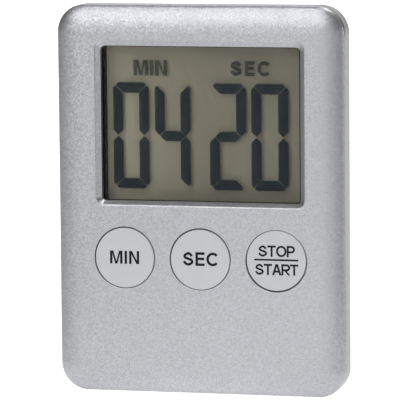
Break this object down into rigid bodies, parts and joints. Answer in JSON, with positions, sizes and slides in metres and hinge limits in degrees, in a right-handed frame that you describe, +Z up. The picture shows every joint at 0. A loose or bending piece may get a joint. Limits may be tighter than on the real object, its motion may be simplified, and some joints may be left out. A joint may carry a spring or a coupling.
{
  "type": "kitchen timer",
  "caption": "Slim card-shaped digital kitchen timer with a large LCD, round push buttons, a coin-turned battery door, magnets and a fold-out stand.",
  "frame": {"origin": "centre of the bottom edge: middle of the width and the thickness, at the bottom", "axes": "+Z up along the height, the display faces -Y, +X to the right when facing the display"},
  "size_m": [0.0646, 0.01, 0.086],
  "materials": {
    "silver_plastic": "silver metallic lacquer with a fine flake",
    "grey_plastic": "satin light grey moulding",
    "black_plastic": "fine matt moulding",
    "button_plastic": "satin",
    "clear_plastic": "polished clear acrylic",
    "tape": "thin adhesive film",
    "lcd_glass": "polished",
    "polariser": "thin neutral film",
    "reflector": "olive grey pearly film",
    "zebra": "striped conductive silicone",
    "board_laminate": "solder mask",
    "epoxy": "glossy epoxy",
    "component_metal": "satin",
    "component_tan": "satin",
    "component_black": "satin",
    "silicone": "moulded silicone rubber",
    "carbon_rubber": "matt",
    "cell_steel": "nickel plated",
    "contact_metal": "plated spring strip",
    "magnet_nickel": "nickel plated",
    "piezo_brass": "satin",
    "piezo_ceramic": "silvered",
    "lead_red": "wire sleeve",
    "lead_black": "wire sleeve",
    "screw_steel": "zinc plated"
  },
  "bodies": {
    "case": {"front_cover": "silver_plastic", "rear_cover": "grey_plastic", "lens_tape": "tape", "display_lens": "clear_plastic", "lcd_frame": "black_plastic", "lcd_front_polariser": "polariser", "lcd_front_glass": "lcd_glass", "lcd_rear_glass": "lcd_glass", "lcd_reflector": "reflector", "zebra_strip": "zebra", "circuit_board": "board_laminate", "chip_blob": "epoxy", "crystal": "component_metal", "chip_capacitors": "component_tan", "chip_resistors": "component_black", "keypad_mat": "silicone", "min_dome": "silicone", "sec_dome": "silicone", "start_stop_dome": "silicone", "button_cell": "cell_steel", "negative_contact": "contact_metal", "positive_contact": "contact_metal", "magnets": "magnet_nickel", "piezo_disc": "piezo_brass", "piezo_ceramic": "piezo_ceramic", "lead_red": "lead_red", "lead_black": "lead_black", "case_screws": "screw_steel", "board_screws": "screw_steel"},
    "min_key": {"min_button": "button_plastic", "min_pill": "carbon_rubber"},
    "sec_key": {"sec_button": "button_plastic", "sec_pill": "carbon_rubber"},
    "start_stop_key": {"start_stop_button": "button_plastic", "start_stop_pill": "carbon_rubber"},
    "door": {"battery_door": "grey_plastic"},
    "leg": {"stand": "grey_plastic"}
  },
  "joints": [
    {"name": "min_press", "type": "slide", "parent": "case", "child": "min_key", "axis": [0, 1, 0], "range_m": [0, 0.0008], "stiffness_N_per_m": 1500, "springref_m": -0.0004, "deforming": ["min_dome"]},
    {"name": "sec_press", "type": "slide", "parent": "case", "child": "sec_key", "axis": [0, 1, 0], "range_m": [0, 0.0008], "stiffness_N_per_m": 1500, "springref_m": -0.0004, "deforming": ["sec_dome"]},
    {"name": "start_stop_press", "type": "slide", "parent": "case", "child": "start_stop_key", "axis": [0, 1, 0], "range_m": [0, 0.0008], "stiffness_N_per_m": 1500, "springref_m": -0.0004, "deforming": ["start_stop_dome"]},
    {"name": "door_turn", "type": "hinge", "parent": "case", "child": "door", "pos_m": [0, 0.0043, 0.013], "axis": [0, 1, 0], "range_deg": [0, 45]},
    {"name": "stand_fold", "type": "hinge", "parent": "case", "child": "leg", "pos_m": [0, 0.0042, 0.033], "axis": [-1, 0, 0], "range_deg": [0, 115]}
  ]
}
